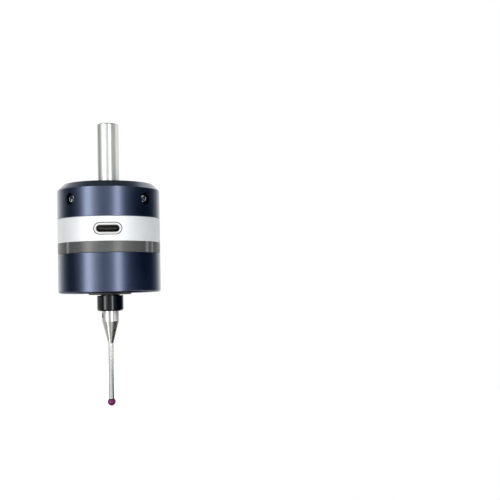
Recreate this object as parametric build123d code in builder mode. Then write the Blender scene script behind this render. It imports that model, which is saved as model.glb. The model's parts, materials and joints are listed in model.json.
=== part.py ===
"""Electronic edge finder: a touch probe with an 8 mm shank, a body of four stacked rings,
a kinematic ball seat inside, and a sprung stylus with a ruby ball.

Frame: millimetres. The origin is on the shank axis, on the top face of the upper housing.
+Z runs up the shank and -Y faces the charging socket. The stylus hangs along -Z."""

import math
import os

from build123d import *

# Body stack: outer radius and ring heights
BODY_R = 19.0
CAP_H = 12.9
LIGHT_RING_H = 4.0
LOWER_H = 14.7
CAP_CHAMFER = 2.3
BOTTOM_ROUND = 1.0
EDGE_BREAK = 0.15

# Shank and its flange inside the cap
SHANK_R = 4.0
SHANK_LEN = 23.3
SHANK_TIP_CHAMFER = 0.3
BOSS_STEP = 2.0
BOSS_GAP = 0.7
CAP_TOP_WALL = 3.2
POCKET_WALL = 3.2
FLANGE_GAP = 1.8
FLANGE_ROOM = 3.5
GROOVE_DEPTH = 1.0

# Four adjusting screws, M4, cone point
ADJUST_R = 2.0
ADJUST_SINK = 0.8
ADJUST_SOCKET_AF = 2.0
ADJUST_SOCKET_DEPTH = 2.2
ADJUST_TIP_FLAT = 0.3
CROSS_ANGLES = (45, 135, 225, 315)

# Three tie screws, M2.5 x 25, which clamp the rings together
TIE_COUNT = 3
TIE_START = 90
TIE_EDGE = 3.6
TIE_R = 1.25
TIE_LEN = 25.0
TIE_CLEAR = 0.2
TIE_HEAD_R = 2.25
TIE_HEAD_H = 2.5
TIE_HEAD_CLEAR = 0.15
TIE_SOCKET_AF = 2.0
TIE_SOCKET_DEPTH = 1.3
TIE_GRIP = 3.0
TIE_TIP_SPACE = 0.6
OVERCUT = 1.0

# Port ring interior
WEB_H = 2.2
PORT_WALL = 2.6
LUG_R = 3.0
SPIGOT_GAP = 0.2
SPIGOT_WALL = 1.5
SPIGOT_H = 1.0
PILLAR_R = 2.2
PILLAR_INSET = 2.0
PILLAR_ANGLES = (110, 230, 350)
NUT_BOSS_WALL = 2.2
NUT_BOSS_H = 2.4

# Charging socket, USB-C sizes
SHELL_W = 8.94
SHELL_H = 3.26
SHELL_WALL = 0.32
SHELL_LEN = 7.35
SHELL_FRONT_SINK = 0.75
SHELL_LIP = 0.35
SHELL_LIP_LEN = 0.8
CUTOUT_GAP = 0.28
TONGUE_SIDE = 1.125
TONGUE_H = 0.7
TONGUE_SINK = 0.7
TONGUE_BASE_LEN = 2.2

# Main circuit board
BOARD_T = 1.6
BOARD_GAP = 0.3
BOARD_HOLE_SHARE = 3 / 7
BOARD_NOTCH_GAP = 0.5
BOARD_SCREW_R = 1.0
BOARD_SCREW_HEAD_R = 1.6
BOARD_SCREW_HEAD_H = 1.2
BOARD_SCREW_LEN = 5.0
TIP_SPACE = 0.3
LED_L = 2.0
LED_W = 1.25
LED_H = 0.9
LED_INSET = 1.7
LED_ROOM = 0.32
LED_COUNT = 6
PROCESSOR_L = 4.0
PROCESSOR_H = 1.0
REGULATOR_L = 2.9
REGULATOR_W = 1.6
REGULATOR_H = 1.1
CAPACITOR_L = 2.0
CAPACITOR_W = 1.25
CAPACITOR_H = 1.25
CHIP_SPOTS = (
    # length, width, height, angle
    (PROCESSOR_L, PROCESSOR_L, PROCESSOR_H, 160),
    (REGULATOR_L, REGULATOR_W, REGULATOR_H, 45),
    (CAPACITOR_L, CAPACITOR_W, CAPACITOR_H, 190),
    (CAPACITOR_L, CAPACITOR_W, CAPACITOR_H, 310),
)
CHIP_GAP = 0.3

# Light ring and lower housing interior
BORE_WALL = 2.4
FLOOR_T = 3.0
SHOULDER_W = 3.4
LEDGE_W = 1.6

# Kinematic seat: three pairs of balls under three rods
SEAT_INSET = 3.5
SEAT_ANGLES = (270, 30, 150)
SEAT_BALL_R = 1.5
ROD_R = 1.5
CONTACT_ANGLE = 45.0
ROD_GAP = 0.03
ROD_IN = 2.2
ROD_OVERHANG = 2.0
SEAT_BOARD_T = 2.0
SEAT_BOARD_GAP = 0.1
SEAT_HOLE_EASE = 0.35
BALL_HOLE_R = 1.2
SEAT_SCREW_ANGLES = (90, 210, 330)
SEAT_SCREW_LEN = 5.0
LINK_PIN_R = 0.35
LINK_PIN_INSET = 1.3
LINK_PIN_ANGLES = (60, 70)
LINK_PIN_TAIL = 0.6

# Rotor hub, spring and preload screw
HUB_R = 5.2
HUB_UP = 2.9
HUB_DOWN = 2.3
SPRING_SPIGOT_R = 2.6
SPRING_SPIGOT_H = 2.5
NECK_SHARE = 3 / 8
NECK_STEP = 1.1
NECK_STUD_LEN = 2.6
SPRING_MEAN_R = 3.4
SPRING_WIRE_R = 0.35
SPRING_TURNS = 6.0
SPRING_GRIND = 0.6
PRELOAD_R = 5.0
PRELOAD_LEN = 5.6
PRELOAD_SINK = 0.5
PRELOAD_POCKET_R = 4.2
PRELOAD_POCKET_DEPTH = 3.0
PRELOAD_SOCKET_AF = 5.0
PRELOAD_SOCKET_DEPTH = 2.0

# Rubber boot and its clamp ring
BOOT_FLANGE_GAP = 0.1
BOOT_FLANGE_H = 1.0
BOOT_SKIN = 0.8
BOOT_SKIRT_FOOT = 1.3
BOOT_SIDE_GAP = 0.05
BOOT_PROUD = 0.6
BOOT_FOLD_UP = 1.1
BOOT_BEAD_W = 1.0
BOOT_BEAD_H = 1.5
CLAMP_RING_LIP = 0.7
CLAMP_RING_H = 1.8

# Stylus holder, stylus and ball
HOLDER_R = 4.9
HOLDER_H = 5.8
HOLDER_DROP = 0.9
HOLDER_CHAMFER = 0.5
STYLUS_BASE_R = 3.15
STYLUS_BASE_H = 3.9
STYLUS_STUD_R = 1.5
STUD_GAP = 0.6
STYLUS_CONE_H = 8.3
STEM_R = 0.95
CROSS_HOLE_R = 1.0
CROSS_HOLE_DROP = 1.7
CROSS_HOLE_TURN = 15.0
BALL_R = 1.5
BALL_DROP = 34.0
BALL_PIN_R = 0.45

# Radii and pitches that follow from the sizes above
TIE_PITCH_R = BODY_R - TIE_EDGE
PORT_BORE_R = BODY_R - PORT_WALL
RING_BORE_R = TIE_PITCH_R - BORE_WALL
POCKET_R = TIE_PITCH_R - POCKET_WALL
FLANGE_R = POCKET_R - FLANGE_GAP
BOSS_R = SHANK_R + BOSS_STEP
SPIGOT_R = POCKET_R - SPIGOT_GAP
BOARD_R = PORT_BORE_R - BOARD_GAP
BOARD_HOLE_R = BOARD_R * BOARD_HOLE_SHARE
PILLAR_PITCH_R = RING_BORE_R - PILLAR_INSET
LED_PITCH_R = BOARD_R - LED_INSET
SEAT_R = RING_BORE_R - SEAT_INSET
ROD_OUT = SEAT_R + ROD_OVERHANG
CLAMP_BORE_R = RING_BORE_R - SHOULDER_W
NECK_R = CLAMP_BORE_R * NECK_SHARE
NECK_STUD_R = NECK_R - NECK_STEP
SEAT_BOARD_HOLE_R = (NECK_R + SEAT_R) / 2 - SEAT_HOLE_EASE
SEAT_SCREW_PITCH_R = (RING_BORE_R + CLAMP_BORE_R) / 2
LINK_PIN_PITCH_R = RING_BORE_R - LINK_PIN_INSET
FLOOR_HOLE_R = CLAMP_BORE_R - LEDGE_W
BOOT_FLANGE_R = CLAMP_BORE_R - BOOT_FLANGE_GAP
BOOT_BEAD_R = NECK_R + BOOT_BEAD_W
CLAMP_RING_IN_R = FLOOR_HOLE_R - CLAMP_RING_LIP
LIP_W = SHELL_W + 2 * SHELL_LIP
LIP_H = SHELL_H + 2 * SHELL_LIP
TONGUE_W = SHELL_W - 2 * TONGUE_SIDE
TONGUE_LEN = SHELL_LEN - TONGUE_BASE_LEN - TONGUE_SINK

# Levels and heights that follow from the sizes above
PORT_RING_H = 2 * (SHELL_H / 2 + BOARD_T + LED_H + LED_ROOM)
CAP_BOTTOM = -CAP_H
PORT_BOTTOM = CAP_BOTTOM - PORT_RING_H
LIGHT_BOTTOM = PORT_BOTTOM - LIGHT_RING_H
BODY_BOTTOM = LIGHT_BOTTOM - LOWER_H
FLANGE_TOP = -CAP_TOP_WALL
FLANGE_H = CAP_H - CAP_TOP_WALL - FLANGE_ROOM
FLANGE_BOTTOM = FLANGE_TOP - FLANGE_H
ADJUST_Z = (FLANGE_TOP + FLANGE_BOTTOM) / 2
WEB_BOTTOM = CAP_BOTTOM - WEB_H
SOCKET_Z = (CAP_BOTTOM + PORT_BOTTOM) / 2
BOARD_TOP = SOCKET_Z - SHELL_H / 2
BOARD_BOTTOM = BOARD_TOP - BOARD_T
FLOOR_TOP = BODY_BOTTOM + FLOOR_T
CLAMP_BOTTOM = FLOOR_TOP + BOOT_FLANGE_H
CONTACT_D = SEAT_BALL_R + ROD_R
SEAT_HALF = CONTACT_D * math.sin(math.radians(CONTACT_ANGLE))
ROD_RISE = CONTACT_D * math.cos(math.radians(CONTACT_ANGLE)) + ROD_GAP
BALL_RISE = math.sqrt(SEAT_BALL_R**2 - BALL_HOLE_R**2)
SEAT_BOARD_BOTTOM = CLAMP_BOTTOM + CLAMP_RING_H
SEAT_BOARD_TOP = SEAT_BOARD_BOTTOM + SEAT_BOARD_T
BALL_Z = SEAT_BOARD_TOP + BALL_RISE
ROD_Z = BALL_Z + ROD_RISE
HUB_TOP = ROD_Z + HUB_UP
HUB_BOTTOM = ROD_Z - HUB_DOWN
HOLDER_TOP = BODY_BOTTOM - HOLDER_DROP
HOLDER_BOTTOM = HOLDER_TOP - HOLDER_H
STUD_BOTTOM = HOLDER_TOP - NECK_STUD_LEN
STYLUS_STUD_TOP = STUD_BOTTOM - STUD_GAP
BASE_BOTTOM = HOLDER_BOTTOM - STYLUS_BASE_H
CONE_BOTTOM = BASE_BOTTOM - STYLUS_CONE_H
TIP_Z = HOLDER_BOTTOM - BALL_DROP
TIE_TIP = CAP_BOTTOM + TIE_GRIP
TIE_SEAT = TIE_TIP - TIE_LEN
PRELOAD_BOTTOM = WEB_BOTTOM - NUT_BOSS_H + PRELOAD_SINK
PRELOAD_TOP = PRELOAD_BOTTOM + PRELOAD_LEN
SPRING_TOP = PRELOAD_BOTTOM + PRELOAD_POCKET_DEPTH
SHELL_FRONT = -(BODY_R - SHELL_FRONT_SINK)

os.makedirs("parts", exist_ok=True)


def around(radius, angle, z):
    """A place at a radius and an angle about the shank axis, turned to face outwards."""
    turn = math.radians(angle)
    return Location((radius * math.cos(turn), radius * math.sin(turn), z), (0, 0, angle))


# Shank: a ground rod with a boss and a grooved flange, turned in one piece
GROOVE_TOP = ADJUST_Z + GROOVE_DEPTH
GROOVE_LOW = ADJUST_Z - GROOVE_DEPTH
with BuildPart() as shank:
    with BuildSketch(Plane.XZ):
        with BuildLine():
            Polyline(
                (0, SHANK_LEN),
                (SHANK_R - SHANK_TIP_CHAMFER, SHANK_LEN),
                (SHANK_R, SHANK_LEN - SHANK_TIP_CHAMFER),
                (SHANK_R, 0),
                (BOSS_R, 0),
                (BOSS_R, FLANGE_TOP),
                (FLANGE_R, FLANGE_TOP),
                (FLANGE_R, GROOVE_TOP),
                (FLANGE_R - GROOVE_DEPTH, ADJUST_Z),
                (FLANGE_R, GROOVE_LOW),
                (FLANGE_R, FLANGE_BOTTOM),
                (0, FLANGE_BOTTOM),
                close=True,
            )
        make_face()
    revolve(axis=Axis.Z)
shank.part.label = "shank"
export_step(shank.part, "parts/shank.step")


# Upper housing: the cap, with its pocket, adjusting holes and tapped tie holes
with BuildPart() as upper_housing:
    with BuildSketch(Plane.XZ):
        with BuildLine():
            Polyline(
                (BOSS_R + BOSS_GAP, 0),
                (BODY_R - CAP_CHAMFER, 0),
                (BODY_R, -CAP_CHAMFER),
                (BODY_R, CAP_BOTTOM + EDGE_BREAK),
                (BODY_R - EDGE_BREAK, CAP_BOTTOM),
                (POCKET_R, CAP_BOTTOM),
                (POCKET_R, FLANGE_TOP),
                (BOSS_R + BOSS_GAP, FLANGE_TOP),
                close=True,
            )
        make_face()
    revolve(axis=Axis.Z)
    for angle in CROSS_ANGLES:
        with BuildSketch(Plane.YZ.rotated((0, 0, angle))):
            with Locations((0, ADJUST_Z)):
                Circle(ADJUST_R)
        extrude(amount=BODY_R + OVERCUT, mode=Mode.SUBTRACT)
    with BuildSketch(Plane.XY.offset(CAP_BOTTOM)):
        with PolarLocations(TIE_PITCH_R, TIE_COUNT, start_angle=TIE_START):
            Circle(TIE_R)
    extrude(amount=TIE_GRIP + TIE_TIP_SPACE, mode=Mode.SUBTRACT)
upper_housing.part.label = "upper_housing"
export_step(upper_housing.part, "parts/upper_housing.step")


# Adjusting screws: cone points resting in the flange groove
SCREW_OUT = BODY_R - ADJUST_SINK
CONE_APEX = FLANGE_R - GROOVE_DEPTH
with BuildPart() as adjuster:
    with BuildSketch(Plane.XZ):
        with BuildLine():
            Polyline(
                (CONE_APEX + ADJUST_TIP_FLAT, ADJUST_Z),
                (SCREW_OUT, ADJUST_Z),
                (SCREW_OUT, ADJUST_Z + ADJUST_R),
                (CONE_APEX + ADJUST_R, ADJUST_Z + ADJUST_R),
                (CONE_APEX + ADJUST_TIP_FLAT, ADJUST_Z + ADJUST_TIP_FLAT),
                close=True,
            )
        make_face()
    revolve(axis=Axis((0, 0, ADJUST_Z), (1, 0, 0)))
    with BuildSketch(Plane.YZ.offset(SCREW_OUT)):
        with Locations((0, ADJUST_Z)):
            RegularPolygon(ADJUST_SOCKET_AF / 2, 6, major_radius=False)
    extrude(amount=-ADJUST_SOCKET_DEPTH, mode=Mode.SUBTRACT)
with BuildPart() as adjusting_screws:
    for angle in CROSS_ANGLES:
        add(adjuster.part, rotation=(0, 0, angle))
adjusting_screws.part.label = "adjusting_screws"
export_step(adjusting_screws.part, "parts/adjusting_screws.step")


# Port ring: the chassis ring, with its web, screw lugs, pillars and socket cut-out
with BuildPart() as port_ring:
    with BuildSketch(Plane.XZ):
        with BuildLine():
            Polyline(
                (PRELOAD_R, CAP_BOTTOM),
                (SPIGOT_R - SPIGOT_WALL, CAP_BOTTOM),
                (SPIGOT_R - SPIGOT_WALL, CAP_BOTTOM + SPIGOT_H),
                (SPIGOT_R, CAP_BOTTOM + SPIGOT_H),
                (SPIGOT_R, CAP_BOTTOM),
                (BODY_R - EDGE_BREAK, CAP_BOTTOM),
                (BODY_R, CAP_BOTTOM - EDGE_BREAK),
                (BODY_R, PORT_BOTTOM + EDGE_BREAK),
                (BODY_R - EDGE_BREAK, PORT_BOTTOM),
                (PORT_BORE_R, PORT_BOTTOM),
                (PORT_BORE_R, WEB_BOTTOM),
                (PRELOAD_R + NUT_BOSS_WALL, WEB_BOTTOM),
                (PRELOAD_R + NUT_BOSS_WALL, WEB_BOTTOM - NUT_BOSS_H),
                (PRELOAD_R, WEB_BOTTOM - NUT_BOSS_H),
                close=True,
            )
        make_face()
    revolve(axis=Axis.Z)
    with BuildSketch(Plane.XY.offset(PORT_BOTTOM)):
        with PolarLocations(TIE_PITCH_R, TIE_COUNT, start_angle=TIE_START):
            Circle(LUG_R)
    extrude(amount=WEB_BOTTOM - PORT_BOTTOM)
    with BuildSketch(Plane.XY.offset(BOARD_TOP)):
        with Locations([around(PILLAR_PITCH_R, a, 0) for a in PILLAR_ANGLES]):
            Circle(PILLAR_R)
    extrude(amount=WEB_BOTTOM - BOARD_TOP)
    with BuildSketch(Plane.XY.offset(BOARD_TOP)):
        with Locations([around(PILLAR_PITCH_R, a, 0) for a in PILLAR_ANGLES]):
            Circle(BOARD_SCREW_R)
    extrude(amount=BOARD_SCREW_LEN - BOARD_T + TIP_SPACE, mode=Mode.SUBTRACT)
    with BuildSketch(Plane.XY.offset(PORT_BOTTOM)):
        with PolarLocations(TIE_PITCH_R, TIE_COUNT, start_angle=TIE_START):
            Circle(TIE_R + TIE_CLEAR)
    extrude(amount=PORT_RING_H, mode=Mode.SUBTRACT)
    with BuildSketch(Plane.XZ.offset(BODY_R + OVERCUT)):
        with Locations((0, SOCKET_Z)):
            SlotOverall(LIP_W + 2 * CUTOUT_GAP, LIP_H + 2 * CUTOUT_GAP)
    extrude(amount=-(BODY_R + 2 * OVERCUT - PORT_BORE_R), mode=Mode.SUBTRACT)
port_ring.part.label = "port_ring"
export_step(port_ring.part, "parts/port_ring.step")


# Preload screw: a hollow set screw in the web that holds the top of the spring
with BuildPart() as preload_screw:
    with BuildSketch(Plane.XY.offset(PRELOAD_BOTTOM)):
        Circle(PRELOAD_R)
    extrude(amount=PRELOAD_LEN)
    with BuildSketch(Plane.XY.offset(PRELOAD_BOTTOM)):
        Circle(PRELOAD_POCKET_R)
    extrude(amount=PRELOAD_POCKET_DEPTH, mode=Mode.SUBTRACT)
    with BuildSketch(Plane.XY.offset(PRELOAD_TOP)):
        RegularPolygon(PRELOAD_SOCKET_AF / 2, 6, major_radius=False)
    extrude(amount=-PRELOAD_SOCKET_DEPTH, mode=Mode.SUBTRACT)
preload_screw.part.label = "preload_screw"
export_step(preload_screw.part, "parts/preload_screw.step")


# Charging socket shell: a drawn steel tube, open to the front, with a thicker lip
with BuildPart() as usb_shell:
    with BuildSketch(Plane.XZ.offset(-SHELL_FRONT)):
        with Locations((0, SOCKET_Z)):
            SlotOverall(LIP_W, LIP_H)
            SlotOverall(SHELL_W - 2 * SHELL_WALL, SHELL_H - 2 * SHELL_WALL, mode=Mode.SUBTRACT)
    extrude(amount=-SHELL_LIP_LEN)
    with BuildSketch(Plane.XZ.offset(-SHELL_FRONT)):
        with Locations((0, SOCKET_Z)):
            SlotOverall(SHELL_W, SHELL_H)
            SlotOverall(SHELL_W - 2 * SHELL_WALL, SHELL_H - 2 * SHELL_WALL, mode=Mode.SUBTRACT)
    extrude(amount=-SHELL_LEN)
usb_shell.part.label = "usb_shell"
export_step(usb_shell.part, "parts/usb_shell.step")


# Charging socket tongue: the moulded base at the back of the shell and its blade
with BuildPart() as usb_tongue:
    with BuildSketch(Plane.XZ.offset(-(SHELL_FRONT + SHELL_LEN))):
        with Locations((0, SOCKET_Z)):
            SlotOverall(SHELL_W - 2 * SHELL_WALL, SHELL_H - 2 * SHELL_WALL)
    extrude(amount=TONGUE_BASE_LEN)
    with BuildSketch(Plane.XZ.offset(-(SHELL_FRONT + SHELL_LEN - TONGUE_BASE_LEN))):
        with Locations((0, SOCKET_Z)):
            Rectangle(TONGUE_W, TONGUE_H)
    extrude(amount=TONGUE_LEN)
usb_tongue.part.label = "usb_tongue"
export_step(usb_tongue.part, "parts/usb_tongue.step")


# Main circuit board, notched around the screw lugs
with BuildPart() as main_board:
    with BuildSketch(Plane.XY.offset(BOARD_BOTTOM)):
        Circle(BOARD_R)
        Circle(BOARD_HOLE_R, mode=Mode.SUBTRACT)
        with PolarLocations(TIE_PITCH_R, TIE_COUNT, start_angle=TIE_START):
            Circle(LUG_R + BOARD_NOTCH_GAP, mode=Mode.SUBTRACT)
        with Locations([around(PILLAR_PITCH_R, a, 0) for a in PILLAR_ANGLES]):
            Circle(BOARD_SCREW_R, mode=Mode.SUBTRACT)
        with Locations([around(LINK_PIN_PITCH_R, a, 0) for a in LINK_PIN_ANGLES]):
            Circle(LINK_PIN_R, mode=Mode.SUBTRACT)
    extrude(amount=BOARD_T)
main_board.part.label = "main_board"
export_step(main_board.part, "parts/main_board.step")


# Board screws, driven up into the pillars
with BuildPart() as board_screws:
    with BuildSketch(Plane.XY.offset(BOARD_BOTTOM)):
        with Locations([around(PILLAR_PITCH_R, a, 0) for a in PILLAR_ANGLES]):
            Circle(BOARD_SCREW_R)
    extrude(amount=BOARD_SCREW_LEN)
    with BuildSketch(Plane.XY.offset(BOARD_BOTTOM)):
        with Locations([around(PILLAR_PITCH_R, a, 0) for a in PILLAR_ANGLES]):
            Circle(BOARD_SCREW_HEAD_R)
    extrude(amount=-BOARD_SCREW_HEAD_H)
board_screws.part.label = "board_screws"
export_step(board_screws.part, "parts/board_screws.step")


# Chips on the upper face of the main board
with BuildPart() as board_chips:
    for length, width, height, angle in CHIP_SPOTS:
        pitch_r = TIE_PITCH_R - LUG_R - CHIP_GAP - length / 2
        with Locations(around(pitch_r, angle, BOARD_TOP)):
            Box(length, width, height, align=(Align.CENTER, Align.CENTER, Align.MIN))
board_chips.part.label = "board_chips"
export_step(board_chips.part, "parts/board_chips.step")


# Indicator lamps on the lower face, just above the light ring
with BuildPart() as indicator_leds:
    for i in range(LED_COUNT):
        with Locations(around(LED_PITCH_R, i * 360 / LED_COUNT, BOARD_BOTTOM)):
            Box(LED_W, LED_L, LED_H, align=(Align.CENTER, Align.CENTER, Align.MAX))
indicator_leds.part.label = "indicator_leds"
export_step(indicator_leds.part, "parts/indicator_leds.step")


# Light ring: the smoky diffuser between the port ring and the lower housing
with BuildPart() as light_ring:
    with BuildSketch(Plane.XZ):
        with BuildLine():
            Polyline(
                (RING_BORE_R, PORT_BOTTOM),
                (BODY_R - EDGE_BREAK, PORT_BOTTOM),
                (BODY_R, PORT_BOTTOM - EDGE_BREAK),
                (BODY_R, LIGHT_BOTTOM + EDGE_BREAK),
                (BODY_R - EDGE_BREAK, LIGHT_BOTTOM),
                (RING_BORE_R, LIGHT_BOTTOM),
                close=True,
            )
        make_face()
    revolve(axis=Axis.Z)
    with BuildSketch(Plane.XY.offset(LIGHT_BOTTOM)):
        with PolarLocations(TIE_PITCH_R, TIE_COUNT, start_angle=TIE_START):
            Circle(TIE_R + TIE_CLEAR)
    extrude(amount=LIGHT_RING_H, mode=Mode.SUBTRACT)
light_ring.part.label = "light_ring"
export_step(light_ring.part, "parts/light_ring.step")


# Lower housing: the cup that carries the seat, the boot and the tie screw heads
with BuildPart() as lower_housing:
    with BuildSketch(Plane.XZ):
        with BuildLine():
            Polyline(
                (RING_BORE_R, LIGHT_BOTTOM),
                (BODY_R - EDGE_BREAK, LIGHT_BOTTOM),
                (BODY_R, LIGHT_BOTTOM - EDGE_BREAK),
                (BODY_R, BODY_BOTTOM + BOTTOM_ROUND),
            )
            RadiusArc(
                (BODY_R, BODY_BOTTOM + BOTTOM_ROUND),
                (BODY_R - BOTTOM_ROUND, BODY_BOTTOM),
                BOTTOM_ROUND,
            )
            Polyline(
                (BODY_R - BOTTOM_ROUND, BODY_BOTTOM),
                (FLOOR_HOLE_R, BODY_BOTTOM),
                (FLOOR_HOLE_R, FLOOR_TOP),
                (CLAMP_BORE_R, FLOOR_TOP),
                (CLAMP_BORE_R, SEAT_BOARD_BOTTOM),
                (RING_BORE_R, SEAT_BOARD_BOTTOM),
                (RING_BORE_R, LIGHT_BOTTOM),
            )
        make_face()
    revolve(axis=Axis.Z)
    with BuildSketch(Plane.XY.offset(BODY_BOTTOM)):
        with PolarLocations(TIE_PITCH_R, TIE_COUNT, start_angle=TIE_START):
            Circle(TIE_R + TIE_CLEAR)
    extrude(amount=LOWER_H, mode=Mode.SUBTRACT)
    with BuildSketch(Plane.XY.offset(BODY_BOTTOM)):
        with PolarLocations(TIE_PITCH_R, TIE_COUNT, start_angle=TIE_START):
            Circle(TIE_HEAD_R + TIE_HEAD_CLEAR)
    extrude(amount=TIE_SEAT - BODY_BOTTOM, mode=Mode.SUBTRACT)
    with BuildSketch(Plane.XY.offset(SEAT_BOARD_BOTTOM)):
        with Locations([around(SEAT_SCREW_PITCH_R, a, 0) for a in SEAT_SCREW_ANGLES]):
            Circle(BOARD_SCREW_R)
    extrude(amount=-(SEAT_SCREW_LEN - SEAT_BOARD_T + TIP_SPACE), mode=Mode.SUBTRACT)
lower_housing.part.label = "lower_housing"
export_step(lower_housing.part, "parts/lower_housing.step")


# Tie screws: socket heads in the counterbores, tips in the cap
with BuildPart() as tie_screws:
    with BuildSketch(Plane.XY.offset(TIE_SEAT)):
        with PolarLocations(TIE_PITCH_R, TIE_COUNT, start_angle=TIE_START):
            Circle(TIE_R)
    extrude(amount=TIE_LEN)
    with BuildSketch(Plane.XY.offset(TIE_SEAT)):
        with PolarLocations(TIE_PITCH_R, TIE_COUNT, start_angle=TIE_START):
            Circle(TIE_HEAD_R)
    extrude(amount=-TIE_HEAD_H)
    with BuildSketch(Plane.XY.offset(TIE_SEAT - TIE_HEAD_H)):
        with PolarLocations(TIE_PITCH_R, TIE_COUNT, start_angle=TIE_START):
            RegularPolygon(TIE_SOCKET_AF / 2, 6, major_radius=False)
    extrude(amount=TIE_SOCKET_DEPTH, mode=Mode.SUBTRACT)
tie_screws.part.label = "tie_screws"
export_step(tie_screws.part, "parts/tie_screws.step")


# Seat board: carries the ball pairs, wired in one loop
BALL_SPOTS = []
for seat in SEAT_ANGLES:
    turn = math.radians(seat)
    for side in (-SEAT_HALF, SEAT_HALF):
        ball_x = SEAT_R * math.cos(turn) - side * math.sin(turn)
        ball_y = SEAT_R * math.sin(turn) + side * math.cos(turn)
        BALL_SPOTS.append((ball_x, ball_y))
with BuildPart() as seat_board:
    with BuildSketch(Plane.XY.offset(SEAT_BOARD_BOTTOM)):
        Circle(RING_BORE_R - SEAT_BOARD_GAP)
        Circle(SEAT_BOARD_HOLE_R, mode=Mode.SUBTRACT)
        with Locations(BALL_SPOTS):
            Circle(BALL_HOLE_R, mode=Mode.SUBTRACT)
        with Locations([around(SEAT_SCREW_PITCH_R, a, 0) for a in SEAT_SCREW_ANGLES]):
            Circle(BOARD_SCREW_R, mode=Mode.SUBTRACT)
        with Locations([around(LINK_PIN_PITCH_R, a, 0) for a in LINK_PIN_ANGLES]):
            Circle(LINK_PIN_R, mode=Mode.SUBTRACT)
    extrude(amount=SEAT_BOARD_T)
seat_board.part.label = "seat_board"
export_step(seat_board.part, "parts/seat_board.step")


# Seat balls, resting in the rims of their holes
with BuildPart() as seat_balls:
    for ball_x, ball_y in BALL_SPOTS:
        with Locations((ball_x, ball_y, BALL_Z)):
            Sphere(SEAT_BALL_R)
seat_balls.part.label = "seat_balls"
export_step(seat_balls.part, "parts/seat_balls.step")


# Seat screws, which hold the seat board on the shoulder of the lower housing
with BuildPart() as seat_screws:
    with BuildSketch(Plane.XY.offset(SEAT_BOARD_TOP)):
        with Locations([around(SEAT_SCREW_PITCH_R, a, 0) for a in SEAT_SCREW_ANGLES]):
            Circle(BOARD_SCREW_R)
    extrude(amount=-SEAT_SCREW_LEN)
    with BuildSketch(Plane.XY.offset(SEAT_BOARD_TOP)):
        with Locations([around(SEAT_SCREW_PITCH_R, a, 0) for a in SEAT_SCREW_ANGLES]):
            Circle(BOARD_SCREW_HEAD_R)
    extrude(amount=BOARD_SCREW_HEAD_H)
seat_screws.part.label = "seat_screws"
export_step(seat_screws.part, "parts/seat_screws.step")


# Link pins: carry the seat loop up to the main board
with BuildPart() as link_pins:
    with BuildSketch(Plane.XY.offset(SEAT_BOARD_BOTTOM)):
        with Locations([around(LINK_PIN_PITCH_R, a, 0) for a in LINK_PIN_ANGLES]):
            Circle(LINK_PIN_R)
    extrude(amount=BOARD_TOP + LINK_PIN_TAIL - SEAT_BOARD_BOTTOM)
link_pins.part.label = "link_pins"
export_step(link_pins.part, "parts/link_pins.step")


# Boot clamp ring, between the boot flange and the seat board
with BuildPart() as boot_clamp:
    with BuildSketch(Plane.XY.offset(CLAMP_BOTTOM)):
        Circle(BOOT_FLANGE_R)
        Circle(CLAMP_RING_IN_R, mode=Mode.SUBTRACT)
    extrude(amount=SEAT_BOARD_BOTTOM - CLAMP_BOTTOM)
boot_clamp.part.label = "boot_clamp"
export_step(boot_clamp.part, "parts/boot_clamp.step")


# Rubber boot: flange, skirt, one fold, and a bead around the neck
SKIRT_OUT = FLOOR_HOLE_R - BOOT_SIDE_GAP
SKIRT_IN = SKIRT_OUT - BOOT_SKIN
BOOT_LOW = BODY_BOTTOM - BOOT_PROUD
BEAD_TOP = BOOT_LOW + BOOT_BEAD_H
FOLD_R = (SKIRT_IN + BOOT_BEAD_R) / 2
FOLD_LOW = BOOT_LOW + BOOT_FOLD_UP
with BuildPart() as dust_boot:
    with BuildSketch(Plane.XZ):
        with BuildLine():
            Polyline(
                (NECK_R, BEAD_TOP),
                (NECK_R, BOOT_LOW),
                (BOOT_BEAD_R, BOOT_LOW),
            )
            Spline(
                (BOOT_BEAD_R, BOOT_LOW),
                (FOLD_R, FOLD_LOW),
                (SKIRT_OUT - BOOT_SKIN / 2, BOOT_LOW),
                tangents=((1, 0.6), (1, -0.6)),
            )
            Polyline(
                (SKIRT_OUT - BOOT_SKIN / 2, BOOT_LOW),
                (SKIRT_OUT, BOOT_LOW + BOOT_SKIN / 2),
                (SKIRT_OUT, FLOOR_TOP),
                (BOOT_FLANGE_R, FLOOR_TOP),
                (BOOT_FLANGE_R, CLAMP_BOTTOM),
                (SKIRT_IN, CLAMP_BOTTOM),
                (SKIRT_IN, BOOT_LOW + BOOT_SKIRT_FOOT),
            )
            Spline(
                (SKIRT_IN, BOOT_LOW + BOOT_SKIRT_FOOT),
                (FOLD_R, FOLD_LOW + BOOT_SKIN),
                (BOOT_BEAD_R, BEAD_TOP),
                tangents=((-1, 0.6), (-1, -0.6)),
            )
            Line((BOOT_BEAD_R, BEAD_TOP), (NECK_R, BEAD_TOP))
        make_face()
    revolve(axis=Axis.Z)
dust_boot.part.label = "dust_boot"
export_step(dust_boot.part, "parts/dust_boot.step")


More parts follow.
